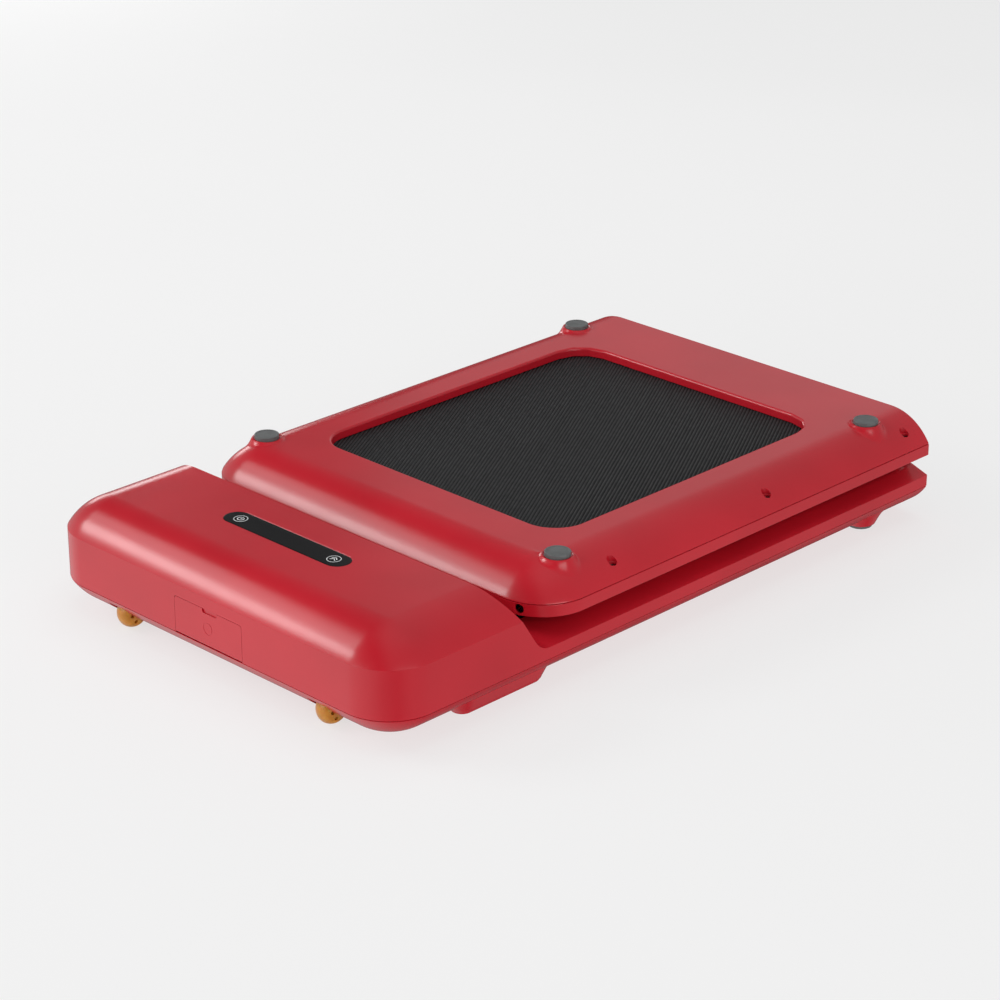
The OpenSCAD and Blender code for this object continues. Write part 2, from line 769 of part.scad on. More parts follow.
module tension_bolts() color("#3B3D40") flipped() both_sides() {
  rod_y(220.5, tail_y + 15, rear_roller_y - 9, 43, 2.5);
  difference() {
    rod_y(220.5, tail_y + 9, tail_y + 15, 43, 3.6);
    translate([220.5, tail_y + 12, 43]) rotate([90, 0, 0]) cylinder(h = 4, r = 2, $fn = 6);
  }
}

module rear_feet() color("#6A7272") flipped() both_sides()
  for (y = [tail_y + 61.5, fold_y - 64.7]) rod_z(foot_x, y, 0, 4, foot_r);

module rear_shell_screws() color("#8E9296") flipped() shell_screws();

top_cover();
lower_pan();
display_lens();
display_board();
socket_tray();
power_inlet();
switch_bezel();
switch_rocker();
access_door();
door_pin();
motor_can();
motor_end_bells();
motor_shaft();
flywheel();
motor_pulley();
motor_bracket();
drive_belt();
roller_pulley();
controller_board();
heat_sink();
front_beam_left();
front_beam_right();
front_cross_bars();
front_deck();
front_deck_cushions();
front_roller_tube();
front_roller_bearings();
front_roller_axle();
front_belt();
belt_fold();
wheel_left();
wheel_right();
wheel_axles();
wheel_forks();
skids();
front_feet();
front_shell_screws();
front_hinge_leaves();
hinge_pins();
rear_hinge_leaves();
front_hinge_screws();
rear_hinge_screws();
rear_pan();
rear_rim();
rear_beam_left();
rear_beam_right();
rear_cross_bars();
rear_deck();
rear_deck_cushions();
rear_roller_tube();
rear_roller_bearings();
rear_roller_axle();
rear_belt();
tension_blocks();
tension_bolts();
rear_feet();
rear_shell_screws();
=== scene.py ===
"""Folding walking treadmill, folded flat: red moulded shells, ribbed belt, amber wheels and rubber feet."""
import json
import math
import bmesh
import bpy
from mathutils import Matrix, Vector


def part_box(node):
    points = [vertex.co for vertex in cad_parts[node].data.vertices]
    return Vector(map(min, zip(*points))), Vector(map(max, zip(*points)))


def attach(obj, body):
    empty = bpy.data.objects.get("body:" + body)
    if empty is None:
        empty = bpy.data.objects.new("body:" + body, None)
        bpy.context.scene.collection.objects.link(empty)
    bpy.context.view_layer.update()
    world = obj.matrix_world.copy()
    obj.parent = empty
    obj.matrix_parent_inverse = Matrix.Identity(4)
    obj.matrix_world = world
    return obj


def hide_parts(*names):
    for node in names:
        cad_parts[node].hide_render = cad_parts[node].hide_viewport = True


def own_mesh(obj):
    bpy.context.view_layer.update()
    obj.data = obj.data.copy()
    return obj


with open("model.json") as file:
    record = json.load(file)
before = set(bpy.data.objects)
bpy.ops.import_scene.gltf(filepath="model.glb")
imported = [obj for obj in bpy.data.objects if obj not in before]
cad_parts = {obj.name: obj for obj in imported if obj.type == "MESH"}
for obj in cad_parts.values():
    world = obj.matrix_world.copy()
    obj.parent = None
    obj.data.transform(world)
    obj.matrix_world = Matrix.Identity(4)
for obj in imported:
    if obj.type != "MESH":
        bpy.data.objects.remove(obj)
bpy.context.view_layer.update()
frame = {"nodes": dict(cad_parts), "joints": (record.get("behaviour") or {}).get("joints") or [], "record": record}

MM = 0.001
TAU = 2 * math.pi
DIAGONAL = math.sqrt(0.5)

# ---------------------------------------------------------------- sizes, from the frame where it has them
cover_low, cover_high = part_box("top_cover")
belt_low, belt_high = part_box("front_belt")
lens_low, lens_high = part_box("display_lens")
strip_low, strip_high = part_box("belt_fold")
WHEEL_LOW, WHEEL_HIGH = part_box("wheel_right")
DOOR_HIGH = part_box("access_door")[1]
joint_at = {j["name"]: Vector(j["pos_m"]) for j in frame["joints"]}

HALF_WIDTH = cover_high.x
FRONT_Y = cover_low.y
END_Y = cover_high.y
TAIL_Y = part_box("rear_pan")[0].y
FOLD_Z = joint_at["fold"].z
FOLD_PLANE = joint_at["fold"].y
FOLDED_HEIGHT = 2 * FOLD_Z
HOOD_TOP = cover_high.z

# shells
WALL = 2.6 * MM
CORNER_R = 56 * MM
PAN_ARC_R = 55 * MM
PAN_FLAT = 5.8 * MM
SEAM = 36.6 * MM
BAND_TOP = 49.9 * MM
RAIL_TOP = 57.5 * MM
RAIL_INNER = 203.5 * MM
RAIL_SHOULDER = 22 * MM
HOOD_LEAN = 0.645
HOOD_FOOT = 58 * MM
HOOD_BACK = FRONT_Y + 200.5 * MM
HOOD_FILLET_R = 24 * MM
EDGE_R = 0.7 * MM

# window and screws of the pans, placed by their distance from the fold end
PAN_END = END_Y + 0.3 * MM
WINDOW_HALF = 178.5 * MM
WINDOW_FROM = PAN_END - 515.5 * MM
WINDOW_TO = PAN_END - 99.5 * MM
WINDOW_R = 37 * MM
WINDOW_DEPTH = 10.4 * MM
WINDOW_LIP_R = 3.0 * MM
WINDOW_INSET = 69 * MM  # where the flat's outlines end and the window's begin

SCREW_X = 243 * MM
SCREW_R = 4.5 * MM
SCREW_Y = [PAN_END - d * MM for d in (27.5, 263.5, 502.5)]
WELL_FLOOR = 31 * MM

# door, tension holes, feet, skids and printed marks
DOOR_CORNER_R = 3 * MM
DOOR_HALF = DOOR_HIGH.x
DOOR_LOW = 39 * MM
DOOR_RING_Z = 57 * MM
DOOR_GAP = 0.4 * MM
TENSION_HOLE_X = 220.5 * MM
TENSION_HOLE_Z = 43 * MM

COLLAR_R = 16.2 * MM
COLLAR_SLOPE = 2.1
FOOT_R = 13.5 * MM
FOOT_RISE = 2.1 * MM
FOOT_SEAT = 4.6 * MM
REAR_FEET = [(217.6 * MM, TAIL_Y + 61.5 * MM), (217.6 * MM, FOLD_PLANE - 64.7 * MM)]
FRONT_FEET = [(221 * MM, FOLD_PLANE - 70 * MM)]

SKID_X = 222 * MM
SKID_HALF = 12 * MM
SKID_FROM = FRONT_Y + 120 * MM
SKID_TO = FRONT_Y + 236 * MM
INK_X = 70 * MM
INK_THICK = 0.06 * MM


# ---------------------------------------------------------------- mesh helpers
def new_piece(name, verts, faces, sharp_degrees=32):
    """A smooth-shaded mesh object whose edges sharper than the angle stay crisp."""
    mesh = bpy.data.meshes.new(name)
    mesh.from_pydata([tuple(v) for v in verts], [], faces)
    made = bpy.data.objects.new(name, mesh)
    bpy.context.scene.collection.objects.link(made)
    tidy_mesh(made, sharp_degrees)
    return made


def tidy_mesh(piece, sharp_degrees=32):
    """Welds doubles, turns all faces outward and marks the sharp edges."""
    work = bmesh.new()
    work.from_mesh(piece.data)
    bmesh.ops.remove_doubles(work, verts=work.verts, dist=1e-6)
    bmesh.ops.dissolve_degenerate(work, edges=work.edges, dist=1e-7)
    bmesh.ops.recalc_face_normals(work, faces=work.faces)
    for face in work.faces:
        face.smooth = True
    for edge in work.edges:
        if len(edge.link_faces) == 2:
            edge.smooth = edge.calc_face_angle(0) < math.radians(sharp_degrees)
    work.to_mesh(piece.data)
    work.free()


def loft(name, loops, ring=True, cycle=False, caps=(True, True), sharp_degrees=32):
    """Skins loops of equal length. ring closes each loop, cycle joins the last loop to the first."""
    count = len(loops[0])
    verts = [v for loop in loops for v in loop]
    faces = []
    around = count if ring else count - 1
    spans = len(loops) if cycle else len(loops) - 1
    for i in range(spans):
        a, b = i * count, ((i + 1) % len(loops)) * count
        for j in range(around):
            k = (j + 1) % count
            faces.append((a + j, a + k, b + k, b + j))
    if not cycle and caps[0]:
        faces.append(tuple(range(count)))
    if not cycle and caps[1]:
        faces.append(tuple(range((len(loops) - 1) * count, len(loops) * count)))
    if cycle and not ring:
        faces.append(tuple(i * count for i in range(len(loops))))
        faces.append(tuple(i * count + count - 1 for i in range(len(loops))))
    return new_piece(name, verts, faces, sharp_degrees)


def steps(start, end, count):
    """count + 1 even values from start to end."""
    return [start + (end - start) * i / count for i in range(count + 1)]


def arc(centre, radius, start, end, count):
    """Points on an arc in two dimensions; angles in degrees."""
    return [
        (centre[0] + radius * math.cos(math.radians(a)), centre[1] + radius * math.sin(math.radians(a)))
        for a in steps(start, end, count)
    ]


def rounded(points, radii, count=5):
    """A closed outline with its corners rounded; a radius of 0 keeps the corner."""
    out = []
    total = len(points)
    for i, corner in enumerate(points):
        here = Vector(corner)
        back = (Vector(points[i - 1]) - here).normalized()
        ahead = (Vector(points[(i + 1) % total]) - here).normalized()
        radius = radii[i]
        if radius <= 0:
            out.append(tuple(here))
            continue
        half = back.angle(ahead) / 2
        reach = radius / math.tan(half)
        centre = here + (back + ahead).normalized() * (radius / math.sin(half))
        first = here + back * reach - centre
        last = here + ahead * reach - centre
        turn = first.angle_signed(last)
        for s in steps(0, 1, count):
            spun = first.copy()
            spun.rotate(Matrix.Rotation(-turn * s, 2))
            out.append(tuple(centre + spun))
    return out


def revolve(name, profile, origin, axis="Z", count=64, sharp_degrees=32):
    """Turns a closed profile of (radius, height) pairs about an axis through origin."""
    turn = {"Z": Matrix.Identity(3), "X": Matrix.Rotation(math.radians(90), 3, "Y"),
            "Y": Matrix.Rotation(math.radians(-90), 3, "X")}[axis]
    loops = [
        [Vector(origin) + turn @ Vector((r * math.cos(a), r * math.sin(a), h))
         for a in [TAU * j / count for j in range(count)]]
        for r, h in profile
    ]
    hollow = min(r for r, h in profile) > 1e-6
    return loft(name, loops, cycle=hollow, sharp_degrees=sharp_degrees)


def prism(name, outline, axis, start, end, sharp_degrees=32):
    """A closed outline pulled straight along an axis."""
    put = {"X": lambda u, v, w: Vector((w, u, v)),
           "Y": lambda u, v, w: Vector((u, w, v)),
           "Z": lambda u, v, w: Vector((u, v, w))}[axis]
    return loft(name, [[put(u, v, w) for u, v in outline] for w in (start, end)], sharp_degrees=sharp_degrees)


def solid_turn(name, profile, origin, axis="Z", count=48):
    """A turned solid whose profile begins and ends on the axis."""
    return revolve(name, [(max(r, 1e-5), h) for r, h in profile], origin, axis, count)


def block(name, low, high):
    """A plain cutter box."""
    outline = [(low[0], low[1]), (high[0], low[1]), (high[0], high[1]), (low[0], high[1])]
    return prism(name, outline, "Z", low[2], high[2])


def combine(piece, others, operation):
    """Boolean of a piece with helper solids, which are used up."""
    bpy.context.view_layer.update()
    for other in others:
        step = piece.modifiers.new("shape", "BOOLEAN")
        step.operation = operation
        step.solver = "MANIFOLD"
        step.object = other
        deps = bpy.context.evaluated_depsgraph_get()
        mesh = bpy.data.meshes.new_from_object(piece.evaluated_get(deps))
        piece.modifiers.clear()
        if len(mesh.polygons) == 0:
            raise RuntimeError(f"{piece.name}: {operation} with {other.name} left nothing")
        piece.data = mesh
        bpy.data.objects.remove(other)
    tidy_mesh(piece)
    return piece


def turned_over(piece):
    """Mirrors a piece of the rear half, drawn at walking level, up to where it lies when folded."""
    flip = Matrix.Translation((0, 0, FOLDED_HEIGHT)) @ Matrix.Diagonal((1, 1, -1, 1))
    piece.data.transform(flip)
    piece.data.flip_normals()
    return piece


def settle(piece):
    """Keeps broad faces flat in the shading next to rounded edges."""
    even = piece.modifiers.new("even shading", "WEIGHTED_NORMAL")
    even.keep_sharp = True
    return piece


def soften(piece, width_mm, limit_degrees=40):
    """A small rounded edge wherever faces meet sharply."""
    bevel = piece.modifiers.new("rounded edges", "BEVEL")
    bevel.width = width_mm * MM
    bevel.segments = 3
    bevel.limit_method = "ANGLE"
    bevel.angle_limit = math.radians(limit_degrees)
    bevel.harden_normals = False
    return settle(piece)


def place(piece, body, material, replaces=()):
    """Gives a piece its material and slot, and lets it ride on its body."""
    piece.data.materials.clear()
    piece.data.materials.append(material)
    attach(piece, body)
    if replaces:
        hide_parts(*replaces)
    return piece


# ---------------------------------------------------------------- materials
def hex_colour(text):
    """An sRGB hex colour as linear RGBA."""
    values = [int(text[i:i + 2], 16) / 255 for i in (0, 2, 4)]
    return tuple(v / 12.92 if v <= 0.04045 else ((v + 0.055) / 1.055) ** 2.4 for v in values) + (1.0,)


def add_node(tree, kind, settings=None, inputs=None):
    """Adds a shader node; an input given as a socket is linked, any other is set."""
    made = tree.nodes.new("ShaderNode" + kind)
    for name, value in (settings or {}).items():
        setattr(made, name, value)
    for name, value in (inputs or {}).items():
        if isinstance(value, bpy.types.NodeSocket):
            tree.links.new(value, made.inputs[name])
        else:
            made.inputs[name].default_value = value
    return made


def finish(name, colour, **sockets):
    """A new material with a Principled shader set up from plain values."""
    made = bpy.data.materials.new(name)
    made.use_nodes = True
    tree = made.node_tree
    shader = tree.nodes["Principled BSDF"]
    shader.inputs["Base Color"].default_value = hex_colour(colour)
    for socket, value in sockets.items():
        shader.inputs[socket.replace("_", " ")].default_value = value
    where = add_node(tree, "TexCoord").outputs["Object"]
    return made, tree, shader, where


def grain(tree, where, size_mm, detail=3.0, stretch=(1, 1, 1)):
    """Noise whose blobs are about size_mm across, in the piece's own space."""
    scaled = add_node(tree, "Mapping", inputs={"Vector": where, "Scale": stretch}).outputs["Vector"]
    noise = add_node(tree, "TexNoise", inputs={
        "Vector": scaled, "Scale": 1 / (size_mm * MM), "Detail": detail})
    return noise.outputs["Fac"]


def tint(tree, shader, factor, dark, light, low=0.35, high=0.65):
    """Colour that drifts between two shades with a factor."""
    ramp = add_node(tree, "ValToRGB", inputs={"Fac": factor})
    ramp.color_ramp.elements[0].position = low
    ramp.color_ramp.elements[1].position = high
    ramp.color_ramp.elements[0].color = hex_colour(dark)
    ramp.color_ramp.elements[1].color = hex_colour(light)
    tree.links.new(ramp.outputs["Color"], shader.inputs["Base Color"])


def vary(tree, shader, socket, factor, low, high):
    """A socket that moves between two values with a factor."""
    spread = add_node(tree, "MapRange", inputs={"Value": factor, "To Min": low, "To Max": high})
    tree.links.new(spread.outputs["Result"], shader.inputs[socket])


def relief(tree, shader, height, depth_mm, strength=1.0):
    """Bump of a real depth."""
    bump = add_node(tree, "Bump", inputs={"Height": height, "Distance": depth_mm * MM, "Strength": strength})
    tree.links.new(bump.outputs["Normal"], shader.inputs["Normal"])


def red_moulded_abs():
    """Injection-moulded ABS in mass-coloured red: glossy, with a faint orange peel."""
    made, tree, shader, where = finish("red_moulded_abs", "BE1A28", Roughness=0.2, IOR=1.5)
    peel = grain(tree, where, 3.5, 2.0)
    flow = grain(tree, where, 140, 2.0)
    tint(tree, shader, flow, "B71826", "C11B2A")
    vary(tree, shader, "Roughness", grain(tree, where, 22, 4.0), 0.2, 0.27)
    relief(tree, shader, peel, 0.012)
    return made


def ribbed_belt_pvc():
    """PVC walking belt with moulded diagonal ribs: near black, dull, with a fine woven grain between ribs."""
    made, tree, shader, where = finish("ribbed_belt_pvc", "0F0F10", Roughness=0.8, IOR=1.3)
    weave = grain(tree, where, 0.9, 2.0)
    tint(tree, shader, grain(tree, where, 30, 4.0), "0D0D0E", "121213")
    vary(tree, shader, "Roughness", weave, 0.72, 0.88)
    relief(tree, shader, weave, 0.12)
    return made


def lit_belt_rib_pvc():
    """The tops of the ribs, a lighter copy of the belt's PVC: a painted highlight where light catches the ribs
    while the gaps between them lie in shade.
    """
    made, tree, shader, where = finish("lit_belt_rib_pvc", "2C2C2D", Roughness=0.7, IOR=1.35)
    scuff = grain(tree, where, 6, 5.0)
    tint(tree, shader, scuff, "272728", "333334")
    relief(tree, shader, grain(tree, where, 0.8, 2.0), 0.05)
    return made


def grey_foot_rubber():
    """Moulded grey rubber: soft sheen and a fine grain from the mould."""
    made, tree, shader, where = finish("grey_foot_rubber", "5E6060", Roughness=0.55, IOR=1.52)
    tint(tree, shader, grain(tree, where, 9, 4.0), "585A5A", "646666")
    vary(tree, shader, "Roughness", grain(tree, where, 2.5, 3.0), 0.45, 0.62)
    relief(tree, shader, grain(tree, where, 0.7, 2.0), 0.03)
    return made


def amber_polyurethane():
    """Cast polyurethane wheel: amber, slightly see-through at the rim, with a waxy gloss."""
    made, tree, shader, where = finish(
        "amber_polyurethane", "C07E25", Roughness=0.3, IOR=1.5,
        Subsurface_Weight=0.25, Subsurface_Scale=0.004)
    tint(tree, shader, grain(tree, where, 8, 3.0), "B87720", "C9872C")
    relief(tree, shader, grain(tree, where, 1.4, 3.0), 0.03)
    return made


def smoked_display_glass():
    """Smoked acrylic lens: near black and smooth, with a trace of haze."""
    made, tree, shader, where = finish("smoked_display_glass", "0E0E10", Roughness=0.2, IOR=1.25)
    vary(tree, shader, "Roughness", grain(tree, where, 12, 5.0), 0.16, 0.26)
    relief(tree, shader, grain(tree, where, 1.2, 3.0), 0.004)
    return made


def printed_white_ink():
    """Screen-printed white marks: flat, slightly uneven ink."""
    made, tree, shader, where = finish("printed_white_ink", "E2E4E6", Roughness=0.5)
    tint(tree, shader, grain(tree, where, 0.8, 3.0), "D8DBDD", "ECEEEF")
    return made


def textured_black_abs():
    """Spark-eroded black ABS: matt with a fine even grain."""
    made, tree, shader, where = finish("textured_black_abs", "1E1F21", Roughness=0.6, IOR=1.5)
    tint(tree, shader, grain(tree, where, 20, 3.0), "1B1C1E", "232427")
    relief(tree, shader, grain(tree, where, 0.6, 2.0), 0.05)
    return made


def satin_grey_abs():
    """Satin light grey ABS of the rocker."""
    made, tree, shader, where = finish("satin_grey_abs", "C2C4C6", Roughness=0.42, IOR=1.5)
    vary(tree, shader, "Roughness", grain(tree, where, 3, 4.0), 0.36, 0.48)
    relief(tree, shader, grain(tree, where, 0.7, 2.0), 0.02)
    return made


def ground_steel():
    """Ground bright steel: fine lines round the shaft that stretch the highlight."""
    made, tree, shader, where = finish("ground_steel", "B9BBBE", Metallic=1.0, Roughness=0.3)
    lines = grain(tree, where, 0.5, 4.0, stretch=(1, 0.08, 0.08))
    vary(tree, shader, "Roughness", lines, 0.2, 0.4)
    relief(tree, shader, lines, 0.01)
    return made


def painted_frame_steel():
    """Black powder-coated steel: satin with a fine pebble texture."""
    made, tree, shader, where = finish("painted_frame_steel", "2C2E30", Roughness=0.45, IOR=1.5)
    tint(tree, shader, grain(tree, where, 15, 3.0), "282A2C", "323436")
    relief(tree, shader, grain(tree, where, 0.9, 3.0), 0.06)
    return made


def turned_aluminium():
    """Machined aluminium: bright, with turning lines."""
    made, tree, shader, where = finish("turned_aluminium", "B4B7B9", Metallic=1.0, Roughness=0.34)
    lines = grain(tree, where, 0.7, 3.0, stretch=(1, 0.1, 0.1))
    vary(tree, shader, "Roughness", lines, 0.25, 0.42)
    relief(tree, shader, lines, 0.015)
    return made


def blackened_screw_steel():
    """Oil-blackened screw steel: dark, with a dull metallic glint."""
    made, tree, shader, where = finish("blackened_screw_steel", "6E7073", Metallic=1.0, Roughness=0.42)
    vary(tree, shader, "Roughness", grain(tree, where, 1.5, 4.0), 0.34, 0.52)
    return made


def pressed_deck_board():
    """Pressed fibre board: warm brown with short fibres and a waxed face."""
    made, tree, shader, where = finish("pressed_deck_board", "8A6A48", Roughness=0.6)
    fibre = grain(tree, where, 3, 5.0, stretch=(1, 0.25, 1))
    tint(tree, shader, fibre, "7A5B3C", "9B7B57")
    relief(tree, shader, fibre, 0.05)
    return made


def lacquered_circuit_board():
    """Green solder-mask lacquer over copper tracks, which show as lighter lines."""
    made, tree, shader, where = finish("lacquered_circuit_board", "1E5A38", Roughness=0.3)
    tracks = add_node(tree, "TexBrick", inputs={
        "Vector": where, "Scale": 1 / (6 * MM), "Color1": (0, 0, 0, 1), "Color2": (0.2, 0.2, 0.2, 1),
        "Mortar": (1, 1, 1, 1), "Mortar Size": 0.03}).outputs["Color"]
    tint(tree, shader, tracks, "1A4F31", "2F7A4E", 0.2, 0.8)
    relief(tree, shader, tracks, 0.03)
    return made


RED = red_moulded_abs()
BELT = ribbed_belt_pvc()
# the rib tops take a lighter colour than the belt, a painted highlight
RIB = lit_belt_rib_pvc()
RUBBER = grey_foot_rubber()
AMBER = amber_polyurethane()
LENS = smoked_display_glass()
INK = printed_white_ink()
BLACK = textured_black_abs()
GREY = satin_grey_abs()
STEEL = ground_steel()
FRAME_PAINT = painted_frame_steel()
ALUMINIUM = turned_aluminium()
SCREW = blackened_screw_steel()
BOARD = pressed_deck_board()
CIRCUIT = lacquered_circuit_board()

SLOT_FINISH = {
    "red_shell": RED, "display_black": LENS, "circuit_board": CIRCUIT, "black_plastic": BLACK,
    "rocker_grey": GREY, "bright_steel": STEEL, "dark_steel": FRAME_PAINT, "cast_aluminium": ALUMINIUM,
    "belt_black": BELT, "drive_belt_black": BELT, "deck_board": BOARD, "foot_rubber": RUBBER,
    "amber_wheel": AMBER, "screw_steel": SCREW,
}


def paint_cad_nodes():
    """Every CAD node gets the finish of its own slot."""
    for part in frame["record"]["subparts"]:
        mesh = frame["nodes"][part["node"]].data
        mesh.materials.clear()
        mesh.materials.append(SLOT_FINISH[part["material_slot"]])


# ---------------------------------------------------------------- outlines of the shells
CORNER_STEPS = 24
END_STEPS = 60
FULL_INSET = 2 * PAN_ARC_R * DIAGONAL + SEAM - (PAN_FLAT + PAN_ARC_R)
CREASE = HOOD_TOP + PAN_FLAT - SEAM


def fine_rows(length, centres):
    """Fractions along a side: rows 0.8 mm apart near the given distances and 8 mm apart elsewhere."""
    at, rows = 0.0, [0.0]
    while at < length:
        near = min([abs(at - c) for c in centres] + [1.0])
        at += 0.8 * MM if near < 25 * MM else 8 * MM
        rows.append(min(at / length, 1.0))
    return rows


def plan_loop(side, y_low, y_high, radius, z, rows, corner_high=EDGE_R):
    """A closed plan outline: down the right side, round the free end, up the left side and back."""
    radius = max(radius, 2 * MM)
    corner_steps = 3
    right = arc((side - corner_high, y_high - corner_high), corner_high, 90, 0, corner_steps)[:-1]
    right += [(side, y_high - corner_high + (y_low + radius - y_high + corner_high) * f) for f in rows]
    half = right + arc((side - radius, y_low + radius), radius, 0, -90, CORNER_STEPS)[1:]
    front = [(x, y_low) for x in steps(side - radius, -side + radius, END_STEPS)[1:-1]]
    points = half + front + [(-x, y) for x, y in reversed(half)]
    points += [(x, y_high) for x in steps(-side + corner_high, side - corner_high, END_STEPS)[1:-1]]
    return [Vector((x, y, z)) for x, y in points]


def inset_loop(inset, z, y_low, rows, fold_inset=0.0):
    """The shell's outline set in from its walls."""
    return plan_loop(HALF_WIDTH - inset, y_low + inset, END_Y - fold_inset, CORNER_R - inset, z, rows)


def window_loop(grow, z, rows):
    """The window's outline, point for point with inset_loop."""
    return plan_loop(WINDOW_HALF + grow, WINDOW_FROM - grow, WINDOW_TO + grow, WINDOW_R + grow, z, rows,
                     corner_high=WINDOW_R + grow)


def shell_curve(count=60):
    """(inset, level, angle) along the pan's outer skin, steep at the seam and bending towards the flat."""
    steepest, length, bend = math.radians(57.0), 64.0 * MM, 1.08
    points, inset, level = [], 0.0, SEAM
    for k in range(count + 1):
        angle = steepest * (1 - (k / count) ** bend)
        points.append((inset, level, angle))
        middle = steepest * (1 - ((k + 0.5) / count) ** bend)
        inset += math.cos(middle) * length / count
        level -= math.sin(middle) * length / count
    width, drop = points[-1][0], SEAM - points[-1][1]
    return [(i * FULL_INSET / width, SEAM - (SEAM - z) * (SEAM - PAN_FLAT) / drop, a) for i, z, a in points]


CURVE = shell_curve()


def pan_profile(inset):
    """(inset, level) pairs from the seam over the curve to the flat, set in by the given thickness."""
    if not inset:
        return [(i, z) for i, z, _ in CURVE]
    offset = [(i + inset * math.sin(a), z + inset * math.cos(a)) for i, z, a in CURVE]
    kept = [(i, z) for i, z in offset if z < SEAM - 1 * MM]
    return [(inset * 1.3, SEAM)] + kept


def pan_level(x, y, y_low):
    """Level of the pan's outer skin at a point of the plan."""
    over_x = abs(x) - (HALF_WIDTH - CORNER_R)
    over_y = y_low + CORNER_R - y
    inset = CORNER_R - math.hypot(max(over_x, 0), max(over_y, 0)) - min(max(over_x, over_y), 0)
    if inset >= FULL_INSET:
        return PAN_FLAT
    above = max(k for k, (i, _, _) in enumerate(CURVE[:-1]) if i <= max(inset, 0))
    (i0, z0, _), (i1, z1, _) = CURVE[above:above + 2]
    return z0 + (z1 - z0) * (inset - i0) / (i1 - i0)


def smooth_low(a, b, blend):
    """The lower of two levels, with a rounded change from one to the other."""
    overlap = max(blend - abs(a - b), 0) / blend
    return min(a, b) - overlap * overlap * blend / 4


def with_collar(point, feet):
    """Lowers a point of the pan's skin to the flared collar round each foot."""
    level, rim, widest = point.z, PAN_FLAT - FOOT_RISE, 42 * MM
    for foot_x, foot_y in feet:
        reach = math.hypot(abs(point.x) - foot_x, point.y - foot_y)
        if reach < widest:
            flare = rim - 0.4 * MM + COLLAR_SLOPE * max(reach - COLLAR_R, 0)
            flare = -smooth_low(-flare, -rim, 1.4 * MM)
            level = smooth_low(level, flare, 5 * MM)
    return Vector((point.x, point.y, max(level, rim)))


# ---------------------------------------------------------------- pans
def screw_cutters():
    """Stepped wells for the shell screws."""
    mouth_r, step = SCREW_R + 1 * MM, 22.6 * MM
    profile = [(0, -2 * MM), (mouth_r, -2 * MM), (mouth_r, step), (SCREW_R, step + 0.6 * MM),
               (SCREW_R, WELL_FLOOR), (0, WELL_FLOOR)]
    wells = []
    for side in (-1, 1):
        for y in SCREW_Y:
            wells.append(solid_turn("screw_well", profile, (side * SCREW_X, y, 0)))
    return wells


def screw_bosses(y_low):
    """Short posts inside the pan that carry the screw wells."""
    bosses, sides = [], 48
    for side in (-1, 1):
        for y in SCREW_Y:
            ring = arc((side * SCREW_X, y), SCREW_R + 1.6 * MM, 0, 360 - 360 / sides, sides - 1)
            root = [Vector((a, b, pan_level(a, b, y_low) + 1.2 * MM)) for a, b in ring]
            tip = [Vector((a, b, WELL_FLOOR - 0.5 * MM)) for a, b in ring]
            bosses.append(loft("screw_boss", [root, tip]))
    return bosses


def pan(name, y_low, feet):
    """A moulded pan with its window well, foot collars, screw wells and open fold end."""
    length = END_Y - EDGE_R - y_low - CORNER_R
    rows = fine_rows(length, [END_Y - EDGE_R - y for _, y in feet])
    outer = [inset_loop(1.0 * MM, SEAM - 0.2 * MM, y_low, rows),
             inset_loop(0.5 * MM, SEAM - 0.42 * MM, y_low, rows)]
    outer += [inset_loop(i, z, y_low, rows) for i, z in pan_profile(0)[1:]]
    outer += [inset_loop(i, PAN_FLAT, y_low, rows, i - FULL_INSET + 0.2 * MM)
              for i in steps(FULL_INSET + 1.1 * MM, WINDOW_INSET, 13)]
    outer = [[with_collar(v, feet) for v in loop] for loop in outer]
    lip = [window_loop(WINDOW_LIP_R * (1 - math.sin(a)), PAN_FLAT + WINDOW_LIP_R * (1 - math.cos(a)), rows)
           for a in steps(0, math.pi / 2, 7)]
    foot, back = PAN_FLAT + WINDOW_DEPTH, PAN_FLAT + WALL
    well = [window_loop(grow, z, rows)
            for grow, z in ((0, foot - 0.6 * MM), (0.5 * MM, foot), (WALL, foot), (WALL, back))]
    inner = [inset_loop(WINDOW_INSET, back, y_low, rows, 18 * MM)]
    inner += [inset_loop(i, z, y_low, rows, WALL) for i, z in reversed(pan_profile(WALL)[1:])]
    inner += [inset_loop(WALL * 1.42, SEAM - 0.2 * MM, y_low, rows, WALL)]
    made = loft(name, outer + lip + well + inner, cycle=True)
    combine(made, screw_bosses(y_low), "UNION")
    cuts = screw_cutters()
    cuts.append(block("belt_gate", (-RAIL_INNER, END_Y - 2 * WALL, back + 0.2 * MM),
                      (RAIL_INNER, END_Y + WALL, SEAM + WALL)))
    seat, rim = FOOT_R + 1.0 * MM, PAN_FLAT - FOOT_RISE
    profile = [(0, -3 * MM), (seat + 1 * MM, -3 * MM), (seat + 0.9 * MM, rim),
               (seat, rim + 0.8 * MM), (seat, FOOT_SEAT), (0, FOOT_SEAT)]
    for side in (-1, 1):
        for x, y in feet:
            cuts.append(solid_turn("foot_seat", profile, (side * x, y, 0), count=72))
    return combine(made, cuts, "DIFFERENCE")


rear_shell = turned_over(pan("rear_pan_shell", TAIL_Y, REAR_FEET))
place(settle(rear_shell), "rear_half", RED, ["rear_pan"])

WHEEL_AT = (WHEEL_LOW + WHEEL_HIGH) / 2
WHEEL_GAP = 1.5 * MM
SLOT_R = 2.5 * MM


